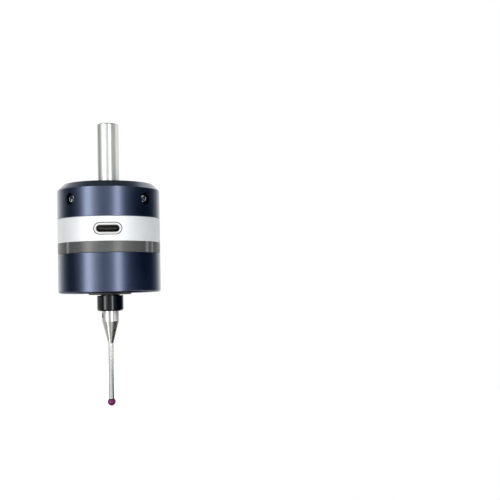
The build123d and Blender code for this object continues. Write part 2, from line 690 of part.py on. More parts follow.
# Rotor hub: carries the seat rods above and the neck below
with BuildPart() as rotor_hub:
    with BuildSketch(Plane.XZ):
        with BuildLine():
            Polyline(
                (0, HUB_TOP + SPRING_SPIGOT_H),
                (SPRING_SPIGOT_R, HUB_TOP + SPRING_SPIGOT_H),
                (SPRING_SPIGOT_R, HUB_TOP),
                (HUB_R, HUB_TOP),
                (HUB_R, HUB_BOTTOM),
                (NECK_R, HUB_BOTTOM),
                (NECK_R, HOLDER_TOP),
                (NECK_STUD_R, HOLDER_TOP),
                (NECK_STUD_R, STUD_BOTTOM),
                (0, STUD_BOTTOM),
                close=True,
            )
        make_face()
    revolve(axis=Axis.Z)
    for seat in SEAT_ANGLES:
        with BuildSketch(Plane.YZ.rotated((0, 0, seat)).offset(ROD_IN)):
            with Locations((0, ROD_Z)):
                Circle(ROD_R)
        extrude(amount=HUB_R, mode=Mode.SUBTRACT)
rotor_hub.part.label = "rotor_hub"
export_step(rotor_hub.part, "parts/rotor_hub.step")


# Seat rods: three dowels pressed into the hub
with BuildPart() as seat_rods:
    for seat in SEAT_ANGLES:
        with BuildSketch(Plane.YZ.rotated((0, 0, seat)).offset(ROD_IN)):
            with Locations((0, ROD_Z)):
                Circle(ROD_R)
        extrude(amount=ROD_OUT - ROD_IN)
seat_rods.part.label = "seat_rods"
export_step(seat_rods.part, "parts/seat_rods.step")


# Preload spring: a coil with ground ends between the preload screw and the hub
SPRING_LEN = SPRING_TOP - HUB_TOP
WIRE_OVERRUN = SPRING_WIRE_R * SPRING_GRIND
COIL_H = SPRING_LEN - 2 * (SPRING_WIRE_R - WIRE_OVERRUN)
with BuildPart() as preload_spring:
    with BuildLine():
        coil = Helix(COIL_H / SPRING_TURNS, COIL_H, SPRING_MEAN_R,
                     center=(0, 0, HUB_TOP + SPRING_WIRE_R - WIRE_OVERRUN))
    with BuildSketch(Plane(origin=coil @ 0, z_dir=coil % 0)):
        Circle(SPRING_WIRE_R)
    sweep(path=coil, is_frenet=True)
    with Locations((0, 0, (SPRING_TOP + HUB_TOP) / 2)):
        Box(4 * SPRING_MEAN_R, 4 * SPRING_MEAN_R, SPRING_LEN, mode=Mode.INTERSECT)
preload_spring.part.label = "preload_spring"
export_step(preload_spring.part, "parts/preload_spring.step")


# Stylus holder: the black collar on the neck, tapped for the stylus
with BuildPart() as stylus_holder:
    with BuildSketch(Plane.XZ):
        with BuildLine():
            Polyline(
                (NECK_STUD_R, HOLDER_TOP),
                (HOLDER_R - EDGE_BREAK, HOLDER_TOP),
                (HOLDER_R, HOLDER_TOP - EDGE_BREAK),
                (HOLDER_R, HOLDER_BOTTOM + HOLDER_CHAMFER),
                (HOLDER_R - HOLDER_CHAMFER, HOLDER_BOTTOM),
                (STYLUS_STUD_R, HOLDER_BOTTOM),
                (STYLUS_STUD_R, STUD_BOTTOM),
                (NECK_STUD_R, STUD_BOTTOM),
                close=True,
            )
        make_face()
    revolve(axis=Axis.Z)
stylus_holder.part.label = "stylus_holder"
export_step(stylus_holder.part, "parts/stylus_holder.step")


# Stylus: stud, base with a spanner hole, cone and stem, cupped for the ball
STEM_END = TIP_Z + math.sqrt(BALL_R**2 - STEM_R**2)
with BuildPart() as stylus:
    with BuildSketch(Plane.XZ):
        with BuildLine():
            Polyline(
                (0, STYLUS_STUD_TOP),
                (STYLUS_STUD_R, STYLUS_STUD_TOP),
                (STYLUS_STUD_R, HOLDER_BOTTOM),
                (STYLUS_BASE_R, HOLDER_BOTTOM),
                (STYLUS_BASE_R, BASE_BOTTOM),
                (STEM_R, CONE_BOTTOM),
                (STEM_R, STEM_END),
                (0, STEM_END),
                close=True,
            )
        make_face()
    revolve(axis=Axis.Z)
    with Locations((0, 0, TIP_Z)):
        Sphere(BALL_R, mode=Mode.SUBTRACT)
    with BuildSketch(Plane.XY.offset(TIP_Z)):
        Circle(BALL_PIN_R)
    extrude(amount=BALL_R + STEM_R)
    with BuildSketch(Plane.YZ.rotated((0, 0, CROSS_HOLE_TURN))):
        with Locations((0, HOLDER_BOTTOM - CROSS_HOLE_DROP)):
            Circle(CROSS_HOLE_R)
    extrude(amount=STYLUS_BASE_R + OVERCUT, both=True, mode=Mode.SUBTRACT)
stylus.part.label = "stylus"
export_step(stylus.part, "parts/stylus.step")


# Ruby ball, drilled for the stem pin
with BuildPart() as ruby_ball:
    with Locations((0, 0, TIP_Z)):
        Sphere(BALL_R)
    with BuildSketch(Plane.XY.offset(TIP_Z)):
        Circle(BALL_PIN_R)
    extrude(amount=BALL_R + OVERCUT, mode=Mode.SUBTRACT)
ruby_ball.part.label = "ruby_ball"
export_step(ruby_ball.part, "parts/ruby_ball.step")
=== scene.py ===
# %% [markdown]
# # An edge finder for a machine spindle
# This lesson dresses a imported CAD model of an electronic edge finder. The turned rings, the
# shank and the stylus keep their CAD shape and get finishes made of nodes. The screws, the
# socket's tongue and contacts, the spring, the rubber boot and the ruby ball are made here,
# because they repeat, flex, or need a finer mesh than the CAD has.

# %% Load the frame
import json
import math

import bpy
from mathutils import Matrix, Vector

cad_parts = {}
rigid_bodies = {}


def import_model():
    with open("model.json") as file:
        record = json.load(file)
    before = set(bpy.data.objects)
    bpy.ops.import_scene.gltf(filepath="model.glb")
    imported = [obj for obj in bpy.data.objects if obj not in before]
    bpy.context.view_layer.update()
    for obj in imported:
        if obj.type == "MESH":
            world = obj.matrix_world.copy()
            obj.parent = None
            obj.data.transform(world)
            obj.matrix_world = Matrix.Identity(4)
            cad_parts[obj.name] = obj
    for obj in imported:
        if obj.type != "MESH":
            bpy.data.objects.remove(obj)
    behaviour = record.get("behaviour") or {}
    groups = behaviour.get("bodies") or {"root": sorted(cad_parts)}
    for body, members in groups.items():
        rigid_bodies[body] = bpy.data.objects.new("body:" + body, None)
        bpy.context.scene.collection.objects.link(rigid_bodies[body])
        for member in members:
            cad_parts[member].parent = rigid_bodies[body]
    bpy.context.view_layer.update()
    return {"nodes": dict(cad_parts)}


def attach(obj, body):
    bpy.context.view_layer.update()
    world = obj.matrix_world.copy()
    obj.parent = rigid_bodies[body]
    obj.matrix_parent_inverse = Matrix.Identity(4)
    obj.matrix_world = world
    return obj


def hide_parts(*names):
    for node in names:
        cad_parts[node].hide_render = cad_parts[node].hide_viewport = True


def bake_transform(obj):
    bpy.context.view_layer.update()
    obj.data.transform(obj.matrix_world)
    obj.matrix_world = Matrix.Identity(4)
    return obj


for leftover in list(bpy.data.objects):
    bpy.data.objects.remove(leftover)
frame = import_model()
MM = 0.001
MICRON = 0.000001

# %% [markdown]
# ## Camera
# A camera is a place, a direction and a lens. These numbers came from fitting the outline of
# the body, the shank and the ball, so the picture can be compared with the real one. The
# camera aims to the right of the object instead of shifting the lens, so that every other
# view can reuse the lens.

# %% Camera
DISTANCE = 0.300
AZIMUTH = math.radians(1.62)
HEIGHT = -36.92 * MM
AIM_RIGHT = math.radians(10.18)
AIM_UP = math.radians(2.22)
ROLL = math.radians(-1.24)
FOCAL_SHARE = 782.6 / 500
SENSOR = 36.0

spot = Vector((DISTANCE * math.sin(AZIMUTH), -DISTANCE * math.cos(AZIMUTH), HEIGHT))
heading = math.atan2(-spot.y, -spot.x) - AIM_RIGHT
forward = Vector((
    math.cos(heading) * math.cos(AIM_UP),
    math.sin(heading) * math.cos(AIM_UP),
    math.sin(AIM_UP),
))
level_side = forward.cross(Vector((0, 0, 1))).normalized()
level_up = level_side.cross(forward)
side = math.cos(ROLL) * level_side + math.sin(ROLL) * level_up
up = math.cos(ROLL) * level_up - math.sin(ROLL) * level_side

lens = bpy.data.cameras.new("bench_camera")
lens.sensor_width = SENSOR
lens.lens = FOCAL_SHARE * SENSOR
lens.clip_start = 0.01
lens.clip_end = 50.0
camera = bpy.data.objects.new("bench_camera", lens)
bpy.context.scene.collection.objects.link(camera)
turn = Matrix((side, up, -forward)).transposed()
camera.matrix_world = Matrix.Translation(spot) @ turn.to_4x4()
bpy.context.scene.camera = camera
print("lens in mm:", round(lens.lens, 2))

# %% [markdown]
# ## Node helpers
# Every finish and every repeating piece below is a tree of nodes. A few small helpers keep the
# trees readable: one places a node and fills or links its inputs, two do sums, and one starts
# a group.


# %% Node helpers
def place(tree, kind, inputs=None, **settings):
    """Places a node. An input given as a socket is linked, and any other value is set."""
    made = tree.nodes.new(kind)
    for setting, value in settings.items():
        setattr(made, setting, value)
    for slot, value in (inputs or {}).items():
        if isinstance(value, bpy.types.NodeSocket):
            tree.links.new(value, made.inputs[slot])
        else:
            made.inputs[slot].default_value = value
    return made


def sums(tree, operation, first, second=0.0):
    """A Math node's result."""
    return place(tree, "ShaderNodeMath", {0: first, 1: second}, operation=operation).outputs[0]


def spread(tree, value, low, high, to_low, to_high):
    """Maps a value from one range to another, held at both ends."""
    inputs = {"Value": value, "From Min": low, "From Max": high, "To Min": to_low, "To Max": to_high}
    return place(tree, "ShaderNodeMapRange", inputs, clamp=True).outputs["Result"]


def here(tree):
    """The point on the surface, in the object's own coordinates."""
    return place(tree, "ShaderNodeTexCoord").outputs["Object"]


def new_group(label, inputs, outputs):
    """An empty shader group with named values in and out."""
    tree = bpy.data.node_groups.new(label, "ShaderNodeTree")
    for name, value in inputs.items():
        socket = tree.interface.new_socket(name, in_out="INPUT", socket_type="NodeSocketFloat")
        socket.default_value = value
    for name in outputs:
        tree.interface.new_socket(name, in_out="OUTPUT", socket_type="NodeSocketFloat")
    return tree, tree.nodes.new("NodeGroupInput").outputs, tree.nodes.new("NodeGroupOutput").inputs


# %% [markdown]
# ## Effects that several finishes share
# Some marks are on more than one material, so each is a group, built once and used with its own
# strength. The first is what a lathe leaves: fine rings on everything it turns. They follow the
# radius and the height but not the angle, so a noise that reads only those two draws them on
# walls and end faces alike.

# %% Turning lines
turning_lines, given, result = new_group("turning_lines", {"Lines per metre": 9000.0}, ["Height"])
apart = place(turning_lines, "ShaderNodeSeparateXYZ", {0: here(turning_lines)}).outputs
square_x = sums(turning_lines, "MULTIPLY", apart["X"], apart["X"])
square_y = sums(turning_lines, "MULTIPLY", apart["Y"], apart["Y"])
radius = sums(turning_lines, "SQRT", sums(turning_lines, "ADD", square_x, square_y))
lathe_place = place(turning_lines, "ShaderNodeCombineXYZ", {"X": radius, "Z": apart["Z"]}).outputs[0]
rings = place(turning_lines, "ShaderNodeTexNoise", {
    "Vector": lathe_place, "Scale": given["Lines per metre"], "Detail": 3.0, "Roughness": 0.6})
turning_lines.links.new(rings.outputs[0], result["Height"])
print("effect:", turning_lines.name)

# %% [markdown]
# Handling leaves soft, uneven patches of gloss. A cloudy noise gives the patches, once as a
# roughness between two limits and once as a share for mixing two shades.

# %% Handling
handling, given, result = new_group(
    "handling", {"Patches per metre": 160.0, "Low": 0.2, "High": 0.3}, ["Gloss loss", "Shade"])
patches = place(handling, "ShaderNodeTexNoise", {
    "Vector": here(handling), "Scale": given["Patches per metre"], "Detail": 5.0, "Roughness": 0.62})
gloss_loss = spread(handling, patches.outputs[0], 0.3, 0.7, given["Low"], given["High"])
handling.links.new(gloss_loss, result["Gloss loss"])
shade = spread(handling, patches.outputs[0], 0.25, 0.75, 0.0, 1.0)
handling.links.new(shade, result["Shade"])
print("effect:", handling.name)

# %% [markdown]
# The rims of a ring rub a little paler than its wall. The height's distance from the nearer rim
# says where, and a finer noise breaks the line up, because wear is never even.

# %% Rim wear
rim_wear, given, result = new_group(
    "rim_wear", {"Top": 0.0, "Bottom": -0.01, "Width": 0.0003}, ["Mask"])
worn_place = here(rim_wear)
height = place(rim_wear, "ShaderNodeSeparateXYZ", {0: worn_place}).outputs["Z"]
to_top = sums(rim_wear, "ABSOLUTE", sums(rim_wear, "SUBTRACT", given["Top"], height))
to_bottom = sums(rim_wear, "ABSOLUTE", sums(rim_wear, "SUBTRACT", height, given["Bottom"]))
nearest = sums(rim_wear, "MINIMUM", to_top, to_bottom)
away = sums(rim_wear, "MINIMUM", sums(rim_wear, "DIVIDE", nearest, given["Width"]), 1.0)
close = sums(rim_wear, "SUBTRACT", 1.0, away)
rubs = place(rim_wear, "ShaderNodeTexNoise", {"Vector": worn_place, "Scale": 700.0, "Detail": 4.0})
patchy = spread(rim_wear, rubs.outputs[0], 0.38, 0.62, 0.0, 1.0)
rim_wear.links.new(sums(rim_wear, "MULTIPLY", close, patchy), result["Mask"])
print("effect:", rim_wear.name)

# %% [markdown]
# Blasted and moulded skins have a grain: fine pits for the relief, and a slow cloud that varies
# the shade.

# %% Grain
CLOUDS_PER_METRE = 240.0
grain, given, result = new_group("grain", {"Grains per metre": 9000.0}, ["Height", "Shade"])
grain_place = here(grain)
pits = place(grain, "ShaderNodeTexNoise", {
    "Vector": grain_place, "Scale": given["Grains per metre"], "Detail": 2.0})
cloud = place(grain, "ShaderNodeTexNoise", {
    "Vector": grain_place, "Scale": CLOUDS_PER_METRE, "Detail": 3.0})
grain.links.new(pits.outputs[0], result["Height"])
grain.links.new(spread(grain, cloud.outputs[0], 0.3, 0.7, 0.0, 1.0), result["Shade"])
print("shared effects:", [tree.name for tree in bpy.data.node_groups])

# %% [markdown]
# ## Finish helpers
# A finish is one Principled shader. Values that are the same all over are set on the shader
# itself. Only what changes over the surface comes in through links.

# %% Finish helpers
MIX_SHARE = 0
MIX_FIRST = 6
MIX_SECOND = 7
MIX_COLOUR = 2


def new_finish(label, **plain):
    """A material whose shader has the plain values set. Returns it with its tree and shader."""
    finish = bpy.data.materials.new(label)
    finish.use_nodes = True
    shader = finish.node_tree.nodes["Principled BSDF"]
    for name, value in plain.items():
        shader.inputs[name.replace("_", " ").title().replace("Ior", "IOR")].default_value = value
    return finish, finish.node_tree, shader


def effect(tree, group, **values):
    """Places a shared effect with its values set and returns its outputs."""
    inputs = {name.replace("_", " ").capitalize(): value for name, value in values.items()}
    return place(tree, "ShaderNodeGroup", inputs, node_tree=group).outputs


def between(tree, share, first, second):
    """A colour between two, each a colour or a socket, by a share that changes over the surface."""
    ends = [end if isinstance(end, bpy.types.NodeSocket) else (*end, 1.0) for end in (first, second)]
    inputs = {MIX_SHARE: share, MIX_FIRST: ends[0], MIX_SECOND: ends[1]}
    return place(tree, "ShaderNodeMix", inputs, data_type="RGBA").outputs[MIX_COLOUR]


def cover(tree, shader, colour, roughness):
    """Links a colour and a roughness that change over the surface."""
    tree.links.new(colour, shader.inputs["Base Color"])
    tree.links.new(roughness, shader.inputs["Roughness"])


def relief(tree, shader, height, depth):
    """Bumps the shader's normal by a height, to a depth in metres."""
    bump = place(tree, "ShaderNodeBump", {"Height": height, "Distance": depth})
    tree.links.new(bump.outputs[0], shader.inputs["Normal"])


def dress(nodes, finish):
    """Gives CAD nodes a finish."""
    for name in nodes:
        slots = frame["nodes"][name].data.materials
        slots.clear()
        slots.append(finish)


# %% [markdown]
# ## Navy anodised rings
# The cap and the cup are turned aluminium with a dyed anodic skin. The dye colours what the
# metal reflects, and the clear skin on top adds a paler gloss, so the shader is a metal with a
# coat. The two materials differ in where their rims are, and the cap also has bores.

# %% Navy anodised rings
CAP_BOTTOM = -12.9
LIGHT_BOTTOM = -25.8
BODY_BOTTOM = -40.5
RIM_WIDTH = 0.35
NAVY_DARK = (0.062, 0.084, 0.150)
NAVY_BRIGHT = (0.070, 0.092, 0.162)
NAVY_RUBBED = (0.11, 0.135, 0.21)


def navy_ring(label, top, bottom):
    """Dyed metal under a clear coat, rubbed paler at its rims. Heights in mm."""
    finish, tree, shader = new_finish(
        label, metallic=1.0, coat_weight=1.0, coat_roughness=0.26, coat_ior=1.62)
    hands = effect(tree, handling, patches_per_metre=150.0, low=0.29, high=0.33)
    rims = effect(tree, rim_wear, top=top * MM, bottom=bottom * MM, width=RIM_WIDTH * MM)
    skin = between(tree, hands["Shade"], NAVY_DARK, NAVY_BRIGHT)
    cover(tree, shader, between(tree, rims["Mask"], skin, NAVY_RUBBED), hands["Gloss loss"])
    lines = effect(tree, turning_lines, lines_per_metre=9000.0)
    relief(tree, shader, lines["Height"], 0.6 * MICRON)
    return finish, tree, shader


cup_finish, tree, shader = navy_ring("navy_cup", LIGHT_BOTTOM, BODY_BOTTOM)
dress(["lower_housing"], cup_finish)
cap_finish, tree, shader = navy_ring("navy_cap", 0.0, CAP_BOTTOM)
dress(["upper_housing"], cap_finish)
print("navy rings:", cap_finish.name, cup_finish.name)

# %% [markdown]
# ## Bores in the cap
# The four bores of the adjusting screws are painted nearly black and lose their coat: a painted shade for
# the shadow that falls inside them.
# They could be a second material on some faces, but the CAD mesh stays as it is. A point's
# distance from the nearest of the four axes tells the bore from the wall instead, and folding X
# and Y to one quarter makes that one sum.

# %% Bores in the cap
ADJUST_Z = -6.3
BORE_R = 2.0
BORE_EDGE = 0.12
PAINTED_BORE_SHADE = (0.006, 0.007, 0.010)
apart = place(tree, "ShaderNodeSeparateXYZ", {0: here(tree)}).outputs
folded = [sums(tree, "ABSOLUTE", apart[axis]) for axis in ("X", "Y")]
across = sums(tree, "MULTIPLY", sums(tree, "SUBTRACT", *folded), math.sqrt(0.5))
above = sums(tree, "SUBTRACT", apart["Z"], ADJUST_Z * MM)
squares = [sums(tree, "MULTIPLY", offset, offset) for offset in (across, above)]
reach = sums(tree, "SQRT", sums(tree, "ADD", *squares))
# Painted shade: inside a bore the wall colour is mixed to nearly black and the coat weight falls to nothing.
bores = spread(tree, reach, BORE_R * MM, (BORE_R + BORE_EDGE) * MM, 1.0, 0.0)
wall_colour = shader.inputs["Base Color"].links[0].from_socket
tree.links.new(between(tree, bores, wall_colour, PAINTED_BORE_SHADE), shader.inputs["Base Color"])
tree.links.new(sums(tree, "SUBTRACT", 1.0, bores), shader.inputs["Coat Weight"])
print("bores darkened to a radius of", BORE_R, "mm")

# %% [markdown]
# ## Bead blasted port ring
# The ring with the socket is clear anodised over a bead blasted surface, so it is nearly white
# and hardly glossy. A pure metal would turn too dark beside a dim room, so it is only partly
# metallic, and fine pits break up its reflection.

# %% Port ring
blasted, tree, shader = new_finish("blasted_clear_anodised", metallic=0.25)
blast = effect(tree, grain, grains_per_metre=7000.0)
hands = effect(tree, handling, patches_per_metre=120.0, low=0.46, high=0.54)
pale_metal = between(tree, blast["Shade"], (0.90, 0.895, 0.88), (0.93, 0.925, 0.91))
cover(tree, shader, pale_metal, hands["Gloss loss"])
relief(tree, shader, blast["Height"], 6 * MICRON)
dress(["port_ring"], blasted)
print("port ring:", blasted.name)

# %% [markdown]
# ## Steel
# The shank and the stylus are ground and polished. A mirror would be too clean: grinding lines
# blur the reflection around the axis, and handling dulls it in patches. The same recipe with
# other numbers makes the screws, the spring wire and gilt brass.


# %% Steel finishes
def steel(label, dark, bright, low, high, depth):
    """A turned metal between two colours and two roughnesses, with lines of a depth in metres."""
    finish, tree, shader = new_finish(label, metallic=1.0)
    hands = effect(tree, handling, patches_per_metre=260.0, low=low, high=high)
    cover(tree, shader, between(tree, hands["Shade"], dark, bright), hands["Gloss loss"])
    lines = effect(tree, turning_lines, lines_per_metre=12000.0)
    relief(tree, shader, lines["Height"], depth)
    return finish


shank_steel = steel("shank_steel", dark=(0.80, 0.79, 0.75), bright=(0.84, 0.83, 0.79),
                    low=0.30, high=0.315, depth=0.2 * MICRON)
ground_steel = steel("ground_steel", dark=(0.75, 0.735, 0.69), bright=(0.80, 0.785, 0.74),
                     low=0.21, high=0.25, depth=0.3 * MICRON)
bright_steel = steel("bright_steel", dark=(0.62, 0.615, 0.60), bright=(0.70, 0.69, 0.68),
                     low=0.16, high=0.26, depth=1.0 * MICRON)
black_steel = steel("black_steel", dark=(0.055, 0.055, 0.06), bright=(0.11, 0.11, 0.115),
                    low=0.24, high=0.36, depth=2.0 * MICRON)
set_steel = steel("set_screw_steel", dark=(0.70, 0.695, 0.69), bright=(0.80, 0.795, 0.79),
                  low=0.07, high=0.12, depth=0.3 * MICRON)
spring_steel = steel("spring_steel", dark=(0.50, 0.50, 0.49), bright=(0.60, 0.60, 0.59),
                     low=0.22, high=0.32, depth=1.0 * MICRON)
gilt = steel("gilt_brass", dark=(0.72, 0.52, 0.22), bright=(0.86, 0.66, 0.34),
             low=0.16, high=0.26, depth=1.0 * MICRON)
dress(["shank"], shank_steel)
dress(["stylus"], ground_steel)
dress(["board_screws", "seat_screws", "seat_balls", "seat_rods"], bright_steel)
dress(["rotor_hub"], black_steel)
dress(["preload_screw", "link_pins"], gilt)
print("steel finishes done, materials so far:", len(bpy.data.materials))

# %% [markdown]
# ## Skins with a grain
# The holder is gloss black, the boot is dull rubber with a skin like fine orange peel, and the
# socket's base, the chips and the lamps are moulded. The plated shell of the socket has the same
# kind of grain, half metal. One recipe with a grain makes them all.


# %% Skins with a grain
def moulded(label, dark, bright, low, high, depth, **plain):
    """A grained skin between two colours and two roughnesses, with pits of a depth in metres."""
    finish, tree, shader = new_finish(label, **plain)
    skin = effect(tree, grain, grains_per_metre=5000.0)
    hands = effect(tree, handling, patches_per_metre=200.0, low=low, high=high)
    cover(tree, shader, between(tree, skin["Shade"], dark, bright), hands["Gloss loss"])
    relief(tree, shader, skin["Height"], depth)
    return finish


gloss_black = moulded("gloss_black", dark=(0.0008, 0.0010, 0.0013), bright=(0.0014, 0.0016, 0.0020),
                      low=0.06, high=0.09, depth=0.3 * MICRON, specular_ior_level=0.62)
satin_nickel = moulded("satin_nickel", dark=(0.84, 0.83, 0.80), bright=(0.90, 0.89, 0.86),
                       low=0.38, high=0.46, depth=1.0 * MICRON, metallic=0.5)
black_moulding = moulded("black_moulding", dark=(0.012, 0.012, 0.012), bright=(0.022, 0.022, 0.021),
                         low=0.40, high=0.52, depth=4.0 * MICRON)
boot_rubber = moulded("boot_rubber", dark=(0.010, 0.010, 0.010), bright=(0.020, 0.020, 0.019),
                      low=0.55, high=0.70, depth=12.0 * MICRON)
lamp_body = moulded("lamp_body", dark=(0.80, 0.76, 0.58), bright=(0.88, 0.85, 0.70),
                    low=0.25, high=0.35, depth=2.0 * MICRON)
dress(["stylus_holder", "boot_clamp"], gloss_black)
dress(["usb_shell"], satin_nickel)
dress(["board_chips"], black_moulding)
dress(["indicator_leds"], lamp_body)
print("grained skins done, materials so far:", len(bpy.data.materials))

# %% [markdown]
# ## Light ring
# The ring over the lamps is smoky plastic that lets some light through. Where a steel screw
# stands just behind it, the light the screw sends back through the plastic shows as a pale
# streak. Clear plastic and a finely meshed inside could show that by themselves, at a cost in
# noise, so the streaks are painted into the colour by the angle around the axis: a painted
# reflection of the screws seen through the ring.

# %% Light ring
PAINTED_STREAKS = (-49.5, 47.0, 56.0, 180.0)
PAINTED_STREAK_HALF = math.radians(3.6)
PAINTED_STREAK_COLOUR = (0.40, 0.405, 0.385)
smoky, tree, shader = new_finish(
    "smoky_diffuser", transmission_weight=0.35, ior=1.49, specular_ior_level=1.0)
skin = effect(tree, grain, grains_per_metre=5000.0)
hands = effect(tree, handling, patches_per_metre=200.0, low=0.27, high=0.33)
apart = place(tree, "ShaderNodeSeparateXYZ", {0: here(tree)}).outputs
bearing = sums(tree, "ARCTAN2", apart["X"], sums(tree, "MULTIPLY", apart["Y"], -1.0))
smoke = between(tree, skin["Shade"], (0.122, 0.123, 0.114), (0.142, 0.142, 0.131))
# Painted reflection: each streak paints the light off a screw behind the plastic into the colour.
for streak in PAINTED_STREAKS:
    off = sums(tree, "SUBTRACT", bearing, math.radians(streak))
    half_turns = {0: off, 1: math.pi, 2: -math.pi}
    wrapped = place(tree, "ShaderNodeMath", half_turns, operation="WRAP").outputs[0]
    near = spread(tree, sums(tree, "ABSOLUTE", wrapped), 0.0, PAINTED_STREAK_HALF, 1.0, 0.0)
    smoke = between(tree, near, smoke, PAINTED_STREAK_COLOUR)
cover(tree, shader, smoke, hands["Gloss loss"])
relief(tree, shader, skin["Height"], 1.2 * MICRON)
dress(["light_ring"], smoky)
print("light ring:", len(PAINTED_STREAKS), "streaks")

# %% [markdown]
# ## Board laminate
# The two circuit boards are hidden in the body. A drawn layout would be wasted there, so a brick
# pattern in two greens stands for their tracks.

# %% Board laminate
laminate, tree, shader = new_finish("board_laminate", roughness=0.32)
tracks = place(tree, "ShaderNodeTexBrick", {
    "Vector": here(tree),
    "Scale": 420.0,
    "Mortar Size": 0.06,
    "Color1": (0.010, 0.075, 0.040, 1.0),
    "Color2": (0.012, 0.085, 0.046, 1.0),
    "Mortar": (0.03, 0.17, 0.08, 1.0),
})
tree.links.new(tracks.outputs["Color"], shader.inputs["Base Color"])
relief(tree, shader, tracks.outputs["Fac"], 20 * MICRON)
dress(["main_board", "seat_board"], laminate)
print("boards:", laminate.name)

# %% [markdown]
# ## Ruby
# The ball is ground from ruby, which is hard, dense and dark red. Clear red glass would look
# pale against a white room, so most of the colour is in the base colour and only a little light
# passes through. The tint keeps its highlights pink.

# %% Ruby
ruby, tree, shader = new_finish(
    "ruby", metallic=0.0, transmission_weight=0.12, ior=1.76, specular_ior_level=1.0,
    specular_tint=(1.0, 0.36, 0.82, 1.0))
depths = effect(tree, handling, patches_per_metre=900.0, low=0.14, high=0.18)
red = between(tree, depths["Shade"], (0.105, 0.008, 0.064), (0.130, 0.011, 0.080))
cover(tree, shader, red, depths["Gloss loss"])
print("finishes:", len(bpy.data.materials))

# %% [markdown]
# ## Turned pieces
# A turned piece is a row of rings joined by quads. Each ring has a radius and a height, and can
# be round, six sided for a wrench socket, or fluted for a grip. A radius of zero closes a pole.
# A spin of a drawn outline could make the round ones, but not the hexagons and flutes.

# %% Turned pieces
HEX_SIDES = 6
FLUTES = 36
FLUTE_DEPTH = 0.02
TURNED_CREASE = 32


def ring_radius(shape, radius, angle):
    """The radius of a ring at an angle."""
    if shape == "hex":
        sector = math.pi / HEX_SIDES
        return radius / math.cos((angle % (2 * sector)) - sector)
    if shape == "fluted":
        return radius * (1 - FLUTE_DEPTH * (0.5 + 0.5 * math.cos(FLUTES * angle)))
    return radius


def smooth_mesh(label, points, faces, crease):
    """A smooth mesh that stays sharp at edges over a crease angle in degrees."""
    mesh = bpy.data.meshes.new(label)
    mesh.from_pydata(points, [], faces)
    mesh.validate()
    mesh.shade_smooth()
    mesh.set_sharp_from_angle(angle=math.radians(crease))
    return mesh


def turned(label, rings, steps=96, closed=False):
    """A mesh of rings about Z, each (radius, height) or (radius, height, shape), in mm."""
    points = []
    faces = []
    rows = []
    for ring in rings:
        shape = ring[2] if len(ring) > 2 else "round"
        if ring[0] == 0:
            rows.append([len(points)] * steps)
            points.append((0.0, 0.0, ring[1] * MM))
            continue
        rows.append(range(len(points), len(points) + steps))
        for step in range(steps):
            angle = 2 * math.pi * step / steps
            reach = ring_radius(shape, ring[0], angle) * MM
            points.append((reach * math.cos(angle), reach * math.sin(angle), ring[1] * MM))
    pairs = list(zip(rows, rows[1:]))
    if closed:
        pairs.append((rows[-1], rows[0]))
    for low, high in pairs:
        for step in range(steps):
            after = (step + 1) % steps
            corners = [low[step], low[after], high[after], high[step]]
            faces.append(list(dict.fromkeys(corners)))
    return smooth_mesh(label, points, [face for face in faces if len(face) > 2], TURNED_CREASE)


def put(label, mesh, finish):
    """An object at the origin with one finish."""
    mesh.materials.clear()
    mesh.materials.append(finish)
    piece = bpy.data.objects.new(label, mesh)
    bpy.context.scene.collection.objects.link(piece)
    return piece


# %% [markdown]
# ## Geometry Nodes: trees that grow pieces
# What repeats or follows a path is grown by a tree of geometry nodes with named sizes. Every
# tree starts and ends alike: its copies are made real and get their finish. The result is then
# turned into a plain mesh, because the export drops instances.


# %% Geometry tree helpers
def new_growth(label, inputs):
    """An empty geometry tree with named inputs. Returns it and what it is given."""
    tree = bpy.data.node_groups.new(label, "GeometryNodeTree")
    tree.interface.new_socket("Geometry", in_out="OUTPUT", socket_type="NodeSocketGeometry")
    for name, kind in inputs.items():
        tree.interface.new_socket(name, in_out="INPUT", socket_type="NodeSocket" + kind)
    return tree, tree.nodes.new("NodeGroupInput").outputs


def end_growth(tree, geometry, finish):
    """Makes copies real, sets the finish and links the result."""
    real = place(tree, "GeometryNodeRealizeInstances", {0: geometry}).outputs[0]
    dressed = place(tree, "GeometryNodeSetMaterial", {"Geometry": real, "Material": finish})
    tree.links.new(dressed.outputs[0], tree.nodes.new("NodeGroupOutput").inputs[0])


def grown(label, tree, values):
    """Runs a geometry tree with named inputs and returns its result as a plain mesh object."""
    host = bpy.data.objects.new(label + "_host", bpy.data.meshes.new(label + "_host"))
    bpy.context.scene.collection.objects.link(host)
    modifier = host.modifiers.new("grow", "NODES")
    modifier.node_group = tree
    for item in tree.interface.items_tree:
        if item.in_out == "INPUT" and item.name in values:
            modifier[item.identifier] = values[item.name]
    bpy.context.view_layer.update()
    graph = bpy.context.evaluated_depsgraph_get()
    mesh = bpy.data.meshes.new_from_object(host.evaluated_get(graph))
    mesh.name = label
    bpy.data.objects.remove(host)
    piece = bpy.data.objects.new(label, mesh)
    bpy.context.scene.collection.objects.link(piece)
    return piece


# %% [markdown]
# ## A ring of copies
# The adjusting screws and the tie screws stand at even angles about the axis. One tree makes
# both: it takes a piece that is already at its radius and turns copies of it about the axis.

